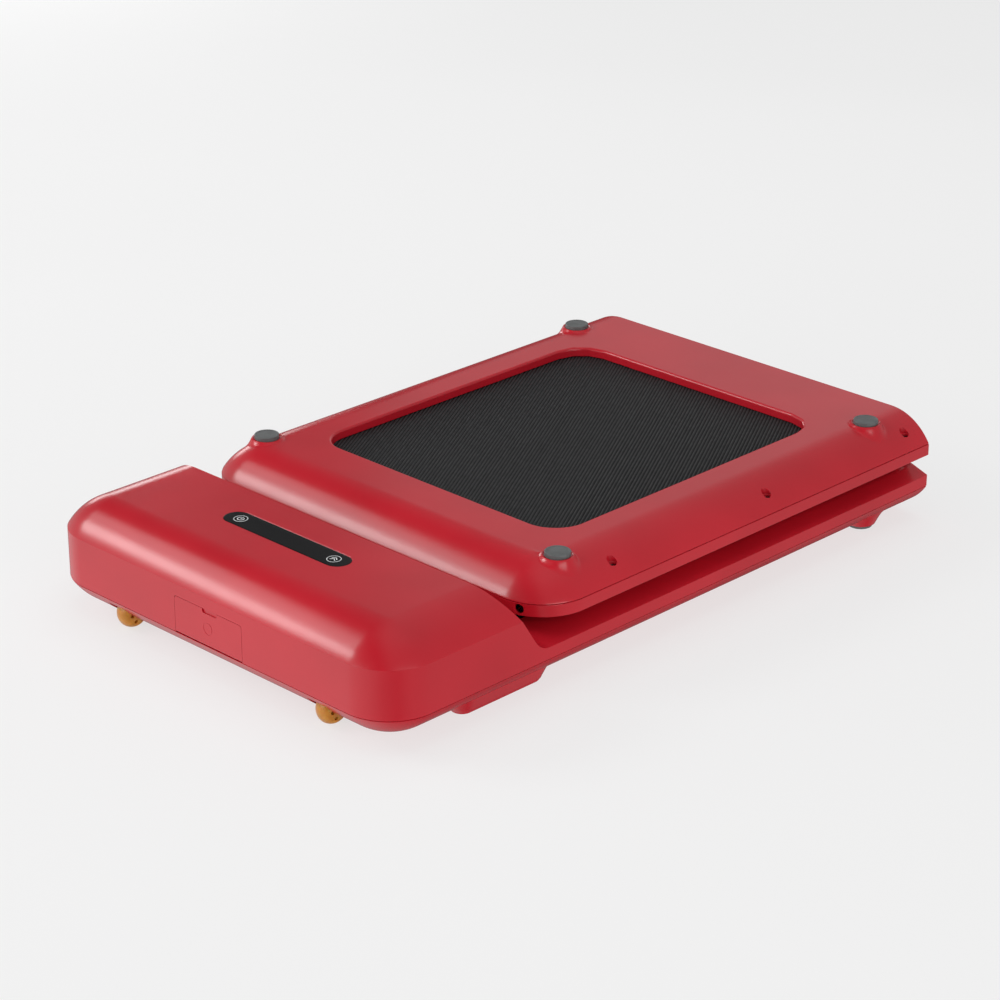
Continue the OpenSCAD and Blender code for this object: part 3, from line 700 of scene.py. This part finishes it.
def wheel_slots():
    """Cutters for the two slots that the wheels stand in, open to the front."""
    half = (WHEEL_HIGH.x - WHEEL_LOW.x) / 2 + WHEEL_GAP
    near, far = FRONT_Y - 9 * MM, WHEEL_HIGH.y + WHEEL_GAP
    slots = []
    for x in (-WHEEL_AT.x, WHEEL_AT.x):
        mouth = rounded([(x - half, near), (x + half, near), (x + half, far), (x - half, far)],
                        [0, 0, SLOT_R, SLOT_R])
        slots.append(prism("wheel_slot", mouth, "Z", -1 * MM, 29 * MM))
    return slots


front_shell = pan("front_pan_shell", FRONT_Y, FRONT_FEET)
combine(front_shell, wheel_slots(), "DIFFERENCE")
place(settle(front_shell), "root", RED, ["lower_pan"])


# ---------------------------------------------------------------- hood and rails
def upper_edge(z):
    """Loops of the lower rim of an upper shell, above the seam."""
    return [(0.9 * MM, SEAM + 0.2 * MM), (0.2 * MM, SEAM + 0.45 * MM), (0, SEAM + 1.0 * MM), (0, z)]


def shell_body(name, profile, y_low, rows, fold_inset=0.0):
    """A solid from a stack of (inset, level) outlines."""
    return loft(name, [inset_loop(i, z, y_low, rows, fold_inset) for i, z in profile])


def behind_hood(name, offset, round_r):
    """What lies behind the leaning back of the hood and above the rails."""
    shift = offset * 1.19  # a wall measured square to the lean is this much longer along Y
    top, far = HOOD_TOP + 20 * MM, END_Y + 20 * MM
    right = [(HALF_WIDTH - RAIL_SHOULDER, RAIL_TOP), (HALF_WIDTH, BAND_TOP),
             (HALF_WIDTH + 12 * MM, 45.8 * MM)]
    loops = []
    for x, ground in [(-x, z) for x, z in reversed(right)] + right:
        floor = ground - offset
        foot_y, top_y = (HOOD_BACK - shift - HOOD_LEAN * (z - HOOD_FOOT) for z in (floor, top))
        outline = rounded([(far, floor), (foot_y, floor), (top_y, top), (far, top)], [0, round_r, 0, 0], 10)
        loops.append([Vector((x, y, z)) for y, z in outline])
    return loft(name, loops)


def hood_profile(inset):
    """(inset, level) pairs of the hood from its side wall over the arc to the top."""
    return [(i, HOOD_TOP + PAN_FLAT - z) for i, z in pan_profile(inset)]


def lens_stack(name, levels):
    """A bar with round ends, as the display lens is, from a stack of (grow, level) outlines."""
    half, radius = lens_high.x, (lens_high.y - lens_low.y) / 2
    middle = (lens_low.y + lens_high.y) / 2
    loops = []
    for grow, z in levels:
        right = arc((half - radius, middle), radius + grow, -90, 90, 20)
        left = arc((-half + radius, middle), radius + grow, 90, 270, 20)
        loops.append([Vector((x, y, z)) for x, y in right + left])
    return loft(name, loops)


def door_outline(half, low, top):
    """The door's shape from the front, with its two upper corners rounded."""
    corners = [(-half, low), (half, low), (half, top), (-half, top)]
    return rounded(corners, [0, 0, DOOR_CORNER_R, DOOR_CORNER_R], 8)


def hinge_cutters():
    """Clearance for the hinge knuckles at the fold end."""
    near, far, low, high = 203 * MM, 233 * MM, 47.9 * MM, 70 * MM
    return [block("hinge_gap", (start, FOLD_PLANE - 13 * MM, low), (end, FOLD_PLANE + 2 * MM, high))
            for start, end in ((near, far), (-far, -near))]


PLAIN_ROWS = fine_rows(1.0, [])


def hood_cover():
    """The top cover: hood with a leaning back, coved into two side rails."""
    outer = upper_edge(CREASE - 30 * MM) + hood_profile(0)
    body = shell_body("hood_cover", outer, FRONT_Y, PLAIN_ROWS)
    combine(body, [behind_hood("behind_outer", 0, HOOD_FILLET_R)], "DIFFERENCE")
    inner = [(WALL, SEAM - 2 * MM), (WALL, CREASE - 1 * MM)] + hood_profile(WALL)[1:]
    hollow = shell_body("hood_hollow", inner, FRONT_Y, PLAIN_ROWS, WALL)
    combine(hollow, [behind_hood("behind_inner", WALL, HOOD_FILLET_R + 2 * MM)], "DIFFERENCE")
    low, past_end = 20 * MM, END_Y + 5 * MM
    way = door_outline(DOOR_HALF + DOOR_GAP, low, DOOR_HIGH.z + DOOR_GAP)
    cuts = [
        hollow,
        block("belt_way", (-RAIL_INNER, HOOD_BACK - 6 * MM, low), (RAIL_INNER, past_end, RAIL_TOP)),
        block("belt_sky", (-RAIL_INNER, HOOD_BACK + 0.4 * MM, low),
              (RAIL_INNER, past_end, RAIL_TOP + 9 * MM)),
        prism("door_way", way, "Y", FRONT_Y - 1 * MM, FRONT_Y + 5 * MM),
        lens_stack("lens_seat", [(0.15 * MM, HOOD_TOP - 2.0 * MM), (0.15 * MM, HOOD_TOP - 0.5 * MM),
                                 (0.9 * MM, HOOD_TOP + 0.2 * MM)]),
    ]
    cuts += hinge_cutters()
    combine(body, cuts, "DIFFERENCE")
    lips = [block("rail_lip", (a, HOOD_BACK - 1 * MM, 50.5 * MM), (b, END_Y - 0.2 * MM, RAIL_TOP - 0.4 * MM))
            for a, b in ((RAIL_INNER, RAIL_INNER + WALL), (-RAIL_INNER - WALL, -RAIL_INNER))]
    return body, lips


hood, rail_lips = hood_cover()
place(settle(hood), "root", RED, ["top_cover"])
for lip, side in zip(rail_lips, ("right", "left")):
    lip.name = "front_rail_lip_" + side
    place(lip, "root", RED)


def rail_profile(inset):
    """(inset, level) pairs of the side band and the sloping rail top."""
    if inset:
        return [(inset, SEAM - 2 * MM), (inset, BAND_TOP - inset / 2),
                (RAIL_SHOULDER + 0.5 * MM, RAIL_TOP - inset)]
    return upper_edge(BAND_TOP - 0.9 * MM) + [
        (0.25 * MM, BAND_TOP - 0.2 * MM), (0.9 * MM, BAND_TOP + 0.25 * MM),
        (RAIL_SHOULDER - 1.2 * MM, RAIL_TOP - 0.35 * MM), (RAIL_SHOULDER + 0.6 * MM, RAIL_TOP)]


def rear_rim_shell():
    """The rear half's rim: a band with sloping rails round the belt."""
    body = shell_body("rear_rim_shell", rail_profile(0), TAIL_Y, PLAIN_ROWS)
    hollow = shell_body("rim_hollow", rail_profile(WALL), TAIL_Y, PLAIN_ROWS, WALL)
    mouth = plan_loop(RAIL_INNER, TAIL_Y + 27 * MM, END_Y + 9 * MM, 8 * MM, 0, PLAIN_ROWS)
    cuts = [hollow, prism("belt_mouth", [(v.x, v.y) for v in mouth], "Z", 20 * MM, RAIL_TOP + 5 * MM)]
    cuts += hinge_cutters()
    mouth_r, hole_r, depth = 5.7 * MM, 5.2 * MM, 9 * MM
    hole = [(0, -1 * MM), (mouth_r, -1 * MM), (mouth_r, 0.25 * MM),
            (hole_r, 0.8 * MM), (hole_r, depth), (0, depth)]
    for side in (-1, 1):
        cuts.append(solid_turn("tension_hole", hole, (side * TENSION_HOLE_X, TAIL_Y, TENSION_HOLE_Z), "Y"))
    return combine(body, cuts, "DIFFERENCE")


rear_rim = turned_over(rear_rim_shell())
place(settle(rear_rim), "rear_half", RED, ["rear_rim"])


# ---------------------------------------------------------------- door, display and fittings
def access_door():
    """The hinged door over the sockets: a plate with a finger recess, a ring groove and ribs behind."""
    half, top, y = DOOR_HALF, DOOR_HIGH.z, FRONT_Y
    plate = prism("door_plate", door_outline(half, DOOR_LOW, top), "Y", y, y + WALL)
    left, right, low, over = -8 * MM, 14 * MM, top - 4.5 * MM, top + 3 * MM
    recess = rounded([(left, low), (right, low), (right, over), (left, over)], [2.4 * MM, 2.4 * MM, 0, 0], 6)
    ring_in, ring_out, front, groove = 5.8 * MM, 7.0 * MM, -0.4 * MM, 0.22 * MM
    ring = [(ring_in, front), (ring_in, groove), (ring_out, groove), (ring_out, front)]
    combine(plate, [prism("finger_recess", recess, "Y", y - 1 * MM, y + 1.4 * MM),
                    revolve("door_ring", ring, (0, y, DOOR_RING_Z), "Y", 48)], "DIFFERENCE")
    barrel_r = 1.6 * MM
    barrel = solid_turn("door_barrel", [(0, -half), (barrel_r, -half), (barrel_r, half), (0, half)],
                        (0, y + barrel_r, DOOR_LOW), "X", 24)
    stiffeners = [block("door_rib", (x - 1 * MM, y + WALL - 0.2 * MM, DOOR_LOW + 7 * MM),
                        (x + 1 * MM, y + 5 * MM, top - 6 * MM)) for x in (-42 * MM, 42 * MM)]
    combine(plate, [barrel] + stiffeners, "UNION")
    return soften(plate, 0.35)


place(access_door(), "door", RED, ["access_door"])


def display_window():
    """The smoked lens, slightly domed at its edge."""
    top = lens_high.z
    return lens_stack("display_window", [(0, lens_low.z), (0, top - 0.45 * MM), (-0.15 * MM, top - 0.15 * MM),
                                         (-0.5 * MM, top), (-2 * MM, top)])


place(settle(display_window()), "root", LENS, ["display_lens"])


def ink_ring(name, x, y, outer, inner, z):
    """A thin printed ring."""
    high = z + INK_THICK
    return revolve(name, [(inner, z), (inner, high), (outer, high), (outer, z)], (x, y, 0), "Z", 48)


def ink_marks():
    """Two ringed symbols printed on the lens: a standby sign and a double arrow head."""
    y, z = (lens_low.y + lens_high.y) / 2, lens_high.z - 0.01 * MM
    high = z + INK_THICK
    marks = []
    for side, x in (("left", -INK_X), ("right", INK_X)):
        marks.append(ink_ring("ink_ring_" + side, x, y, 7.6 * MM, 6.85 * MM, z))
    bar_half = 0.5 * MM
    marks.append(block("ink_bar", (-INK_X - bar_half, y - 0.2 * MM, z),
                       (-INK_X + bar_half, y + 4.2 * MM, high)))
    gap_from, gap_to = 125, 415
    bow = arc((-INK_X, y), 4.0 * MM, gap_from, gap_to, 24) + arc((-INK_X, y), 3.0 * MM, gap_to, gap_from, 24)
    marks.append(prism("ink_standby", bow, "Z", z, high))
    half, rise, thick = 3.8, 2.8, 1.3
    for k, foot in enumerate((-1.8, 1.2)):
        tip = [(-half, foot), (0, foot + rise), (half, foot),
               (half, foot - thick), (0, foot + rise - 1.4), (-half, foot - thick)]
        marks.append(prism(f"ink_arrow_{k}", [(INK_X + a * MM, y + b * MM) for a, b in tip], "Z", z, high))
    return marks


for mark in ink_marks():
    place(mark, "root", INK)


def rubber_foot(name, x, y):
    """A rubber disc with a rounded rim and a slightly sunken face."""
    r = FOOT_R
    edge = arc((r - 0.8 * MM, 0.8 * MM), 0.8 * MM, -90, 0, 6)
    profile = [(0, 0.3 * MM), (r - 2.6 * MM, 0.3 * MM), (r - 2.2 * MM, 0.0 * MM)] + edge
    profile += [(r, 4.4 * MM), (0, 4.4 * MM)]
    return solid_turn(name, profile, (x, y, 0), count=72)


for side, sign in (("right", 1), ("left", -1)):
    for k, (x, y) in enumerate(REAR_FEET):
        foot = turned_over(rubber_foot(f"rear_foot_{side}_{k}", sign * x, y))
        place(foot, "rear_half", RUBBER, ["rear_feet"])
    foot = rubber_foot(f"front_foot_{side}", sign * FRONT_FEET[0][0], FRONT_FEET[0][1])
    place(foot, "root", RUBBER, ["front_feet"])


def transport_wheel(name, x):
    """A cast polyurethane wheel, fully rounded, with lightening holes round its hub."""
    r = (WHEEL_HIGH.z - WHEEL_LOW.z) / 2
    w = (WHEEL_HIGH.x - WHEEL_LOW.x) / 2
    bore, hub = 4.2 * MM, 6.2 * MM
    hole_r, holes_at, hole_depth = 2.1 * MM, 8.6 * MM, 4 * MM
    crown = [(r - w + w * math.cos(a), w * math.sin(a)) for a in steps(-math.pi / 2, math.pi / 2, 28)]
    profile = [(bore, -w), (hub - 0.5 * MM, -w), (hub, -w + 0.5 * MM), (hub + 0.4 * MM, -w + 1.2 * MM),
               (r - w - 0.4 * MM, -w + 1.2 * MM)] if r - w > hub + 1 * MM else [(bore, -w)]
    mirror_side = [(a, -b) for a, b in reversed(profile)]
    made = revolve(name, profile + crown + mirror_side, (x, WHEEL_AT.y, WHEEL_AT.z), "X", 96)
    holes = []
    for face in (-1, 1):
        for k in range(6):
            a = TAU * k / 6
            at = (x + face * w, WHEEL_AT.y + holes_at * math.cos(a), WHEEL_AT.z + holes_at * math.sin(a))
            drill = [(0, -hole_depth), (hole_r, -hole_depth), (hole_r, hole_depth), (0, hole_depth)]
            holes.append(solid_turn("hub_hole", drill, at, "X", 24))
    return combine(made, holes, "DIFFERENCE")


for side, sign in (("right", 1), ("left", -1)):
    wheel = transport_wheel("transport_wheel_" + side, sign * WHEEL_AT.x)
    place(settle(wheel), "wheel_" + side, AMBER, ["wheel_" + side])


def skid(name, sign):
    """A long runner with tapering sides under the hood end, shaped to the pan above it."""
    middle = sign * SKID_X
    near_y, far_y = SKID_FROM + SKID_HALF, SKID_TO - SKID_HALF
    edge_r = 2.6 * MM

    def outline(grow, level=None):
        r = SKID_HALF + grow
        points = arc((middle, near_y), r, 180, 360, 24)[:-1]
        points += [(middle + r, y) for y in steps(near_y, far_y, 24)][:-1]
        points += arc((middle, far_y), r, 0, 180, 24)[:-1]
        points += [(middle - r, y) for y in steps(far_y, near_y, 24)][:-1]
        return [Vector((x, y, level if level is not None else pan_level(x, y, FRONT_Y) + 0.8 * MM))
                for x, y in points]

    rim = [(-edge_r * (1 - math.sin(a)), edge_r * (1 - math.cos(a))) for a in steps(0, math.pi / 2, 8)]
    return loft(name, [outline(grow, level) for grow, level in rim] +
                [outline(0.4 * level, level) for level in (4 * MM, 6 * MM)] + [outline(7.6 * MM)])


for side, sign in (("right", 1), ("left", -1)):
    place(skid("skid_" + side, sign), "root", RED, ["skids"])


# ---------------------------------------------------------------- walking belt with diagonal ribs
RIB_PITCH = 3.8 * MM
RIB_HEIGHT = 0.45 * MM
RIB_LEAN = math.radians(30)
BELT_HALF = belt_high.x
BELT_TOP = belt_high.z
BELT_LOW = belt_low.z
ROLLER_Z = (BELT_TOP + BELT_LOW) / 2
BELT_THICK = 1.6 * MM
ROLLER_R = (BELT_TOP - BELT_LOW) / 2 - BELT_THICK


def belt_base(name, roller_y):
    """The belt's carcass: one loop round the roller and along both faces."""
    outlines = []
    for reach, end in (((BELT_TOP - BELT_LOW) / 2 - RIB_HEIGHT, END_Y), (ROLLER_R, END_Y - BELT_THICK)):
        outline = arc((roller_y, ROLLER_Z), reach, 90, 270, 32)
        outlines.append(outline + [(end, ROLLER_Z - reach), (end, ROLLER_Z + reach)])
    outer, inner = outlines
    corners = ((-BELT_HALF, outer), (BELT_HALF, outer), (BELT_HALF, inner), (-BELT_HALF, inner))
    loops = [[Vector((x, y, z)) for y, z in outline] for x, outline in corners]
    return loft(name, loops, cycle=True)


def ribs(name, y_from, y_to, level, up):
    """Fine moulded ribs lying slantwise across one face; section is (mm across, part of full height)."""
    verts, faces = [], []
    along = Vector((-math.sin(RIB_LEAN), math.cos(RIB_LEAN)))
    across = Vector((math.cos(RIB_LEAN), math.sin(RIB_LEAN)))
    x_lim = BELT_HALF - 0.6 * MM
    section = [(-1.35, 0), (-0.75, 1), (0.75, 1), (1.35, 0)]
    corners = [Vector((x, y)) for x in (-x_lim, x_lim) for y in (y_from, y_to)]
    reach = [c.dot(across) for c in corners]
    k = math.ceil(min(reach) / RIB_PITCH)
    while k * RIB_PITCH < max(reach):
        base = across * (k * RIB_PITCH)
        row = []
        for offset, height in section:
            p = base + across * (offset * MM)
            lo = max((x_lim - p.x) / along.x, (y_from - p.y) / along.y)
            hi = min((-x_lim - p.x) / along.x, (y_to - p.y) / along.y)
            row.append((p + along * lo, p + along * hi, height, hi - lo))
        k += 1
        if min(r[3] for r in row) < 2 * MM:
            continue
        first = len(verts)
        for low_end, high_end, height, _ in row:
            z = level + up * height * RIB_HEIGHT
            verts += [Vector((low_end.x, low_end.y, z)), Vector((high_end.x, high_end.y, z))]
        for j in range(3):
            a = first + 2 * j
            faces.append((a, a + 1, a + 3, a + 2))
        faces.append((first, first + 2, first + 4, first + 6))
        faces.append((first + 1, first + 7, first + 5, first + 3))
        faces.append((first, first + 6, first + 7, first + 1))
    return new_piece(name, verts, faces, 60)


def walking_belt(side, roller_y):
    """One half's loop with ribs on its upper and lower face."""
    end = END_Y - 1 * MM
    # the ribs carry the lighter rib finish, a painted highlight on their tops
    return [(belt_base(f"{side}_belt_base", roller_y), BELT),
            (ribs(f"{side}_belt_ribs_low", roller_y, end, BELT_LOW + RIB_HEIGHT, -1), RIB),
            (ribs(f"{side}_belt_ribs_top", roller_y, end, BELT_TOP - RIB_HEIGHT, 1), RIB)]


for part, surface in walking_belt("front", joint_at["front_roller_spin"].y):
    place(part, "root", surface, ["front_belt"])
for part, surface in walking_belt("rear", joint_at["rear_roller_spin"].y):
    place(turned_over(part), "rear_half", surface, ["rear_belt"])


def fold_strip():
    """The belt's bridge over the fold, bulging a little between the halves."""
    low, high = strip_low, strip_high
    thick = bulge = 1.2 * MM
    loops = []
    for x in steps(low.x, high.x, 24):
        outer = [Vector((x, high.y - bulge + bulge * math.sin(math.pi * s), low.z + (high.z - low.z) * s))
                 for s in steps(0, 1, 16)]
        inner = [v - Vector((0, thick, 0)) for v in reversed(outer)]
        loops.append(outer + inner)
    return loft("belt_fold_strip", loops)


strip = fold_strip()
place(strip, "root", BELT, ["belt_fold"])
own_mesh(strip)

paint_cad_nodes()


# ---------------------------------------------------------------- studio
TARGET = Vector((-24.1 * MM, 18.7 * MM, 54.1 * MM))
CAMERA_AZIMUTH, CAMERA_ELEVATION = 44.621, 23.456
CAMERA_DISTANCE = 3.2302
CAMERA_LENS = 107.03
SKY_GLOW = (-0.62, -0.67, -0.41)
SKY_STRENGTH = 1.15


def studio_backdrop():
    """A wide pale floor and a round wall far behind it, which only closes the view."""
    reach, height = 9.0, 6.0
    ring = [(reach * math.cos(a), reach * math.sin(a)) for a in [TAU * k / 96 for k in range(96)]]
    floor = new_piece("studio_floor", [(x, y, 0) for x, y in ring], [tuple(range(96))])
    levels = [[Vector((x, y, z)) for x, y in ring] for z in (0, height)]
    wall = loft("studio_wall", levels, caps=(False, False))
    made, tree, shader, where = finish("lit_studio_paper", "7C7C7C", Roughness=0.9, Emission_Strength=0.68)
    shader.inputs["Emission Color"].default_value = (1, 1, 1, 1)
    tint(tree, shader, grain(tree, where, 900, 2.0), "7B7B7B", "7D7D7D")
    for piece in (floor, wall):
        piece.data.materials.append(made)
        piece.visible_glossy = False
    wall.visible_diffuse = False
    wall.visible_shadow = False


def softbox(name, direction, distance, size, power, mirrored_in_gloss=True):
    """A large soft light that looks at the object; it can be kept out of glossy reflections."""
    light = bpy.data.lights.new(name, "AREA")
    light.shape = "RECTANGLE"
    light.size, light.size_y = size
    light.energy = power
    lamp = bpy.data.objects.new(name, light)
    lamp.visible_glossy = mirrored_in_gloss
    bpy.context.scene.collection.objects.link(lamp)
    towards = Vector(direction).normalized()
    lamp.location = TARGET + towards * distance
    lamp.rotation_euler = towards.to_track_quat("Z", "Y").to_euler()
    return lamp


def polar(azimuth, elevation):
    """Unit vector from the object towards an azimuth right of the front and an elevation, in degrees."""
    a, e = math.radians(azimuth), math.radians(elevation)
    return Vector((math.sin(a) * math.cos(e), -math.cos(a) * math.cos(e), math.sin(e)))


def studio_camera():
    """A long lens looking down a little at the hood's right-hand corner."""
    data = bpy.data.cameras.new("studio_camera")
    data.lens = CAMERA_LENS
    data.sensor_width = 36.0
    data.clip_end = 60
    camera = bpy.data.objects.new("studio_camera", data)
    bpy.context.scene.collection.objects.link(camera)
    towards = polar(CAMERA_AZIMUTH, CAMERA_ELEVATION)
    camera.location = TARGET + towards * CAMERA_DISTANCE
    camera.rotation_euler = towards.to_track_quat("Z", "Y").to_euler()
    bpy.context.scene.camera = camera


def studio_sky():
    """Soft light from all round, brightest low at the front left, with a dim band across its middle."""
    world = bpy.data.worlds.new("studio_sky")
    bpy.context.scene.world = world
    world.use_nodes = True
    tree = world.node_tree
    sky = tree.nodes["Background"]
    direction = add_node(tree, "TexCoord").outputs["Generated"]
    glow = Vector(SKY_GLOW).normalized()
    facing = add_node(tree, "VectorMath", {"operation": "DOT_PRODUCT"}, {0: direction, 1: glow})
    ramp = add_node(tree, "ValToRGB", inputs={"Fac": add_node(tree, "MapRange", inputs={
        "Value": facing.outputs["Value"], "From Min": -1.0, "From Max": 1.0}).outputs["Result"]})
    stops = ramp.color_ramp.elements
    stops[0].color = (0.36, 0.36, 0.36, 1)
    stops[-1].color = (1.0, 1.0, 1.0, 1)
    for position, level in ((0.32, 0.36), (0.5, 0.07), (0.7, 0.32), (0.86, 0.75)):
        stops.new(position).color = (level, level, level, 1)
    tree.links.new(ramp.outputs["Color"], sky.inputs["Color"])
    sky.inputs["Strength"].default_value = SKY_STRENGTH


studio_backdrop()
# name, direction from the object, distance, size, power
softbox("low_front_left_softbox", (-0.66, -0.56, 0.50), 3.2, (1.4, 0.55), 22)
softbox("high_front_left_softbox", (-0.66, -0.36, 0.66), 3.2, (1.4, 0.7), 8)
softbox("back_left_softbox", (-0.91, 0.38, 0.16), 3.2, (1.2, 0.6), 8)
softbox("overhead_softbox", (0.0, 0.1, 1.0), 3.6, (3.2, 3.2), 34, mirrored_in_gloss=False)
softbox("right_softbox", (0.95, -0.30, 0.30), 3.4, (2.4, 1.6), 34)
softbox("front_softbox", (-0.10, -1.0, 0.28), 3.4, (2.4, 1.4), 20)
softbox("rear_softbox", (-0.93, 1.48, 0.67), 1.87, (1.2, 0.8), 0.8)
studio_camera()
studio_sky()
bpy.context.scene.view_settings.view_transform = "Standard"
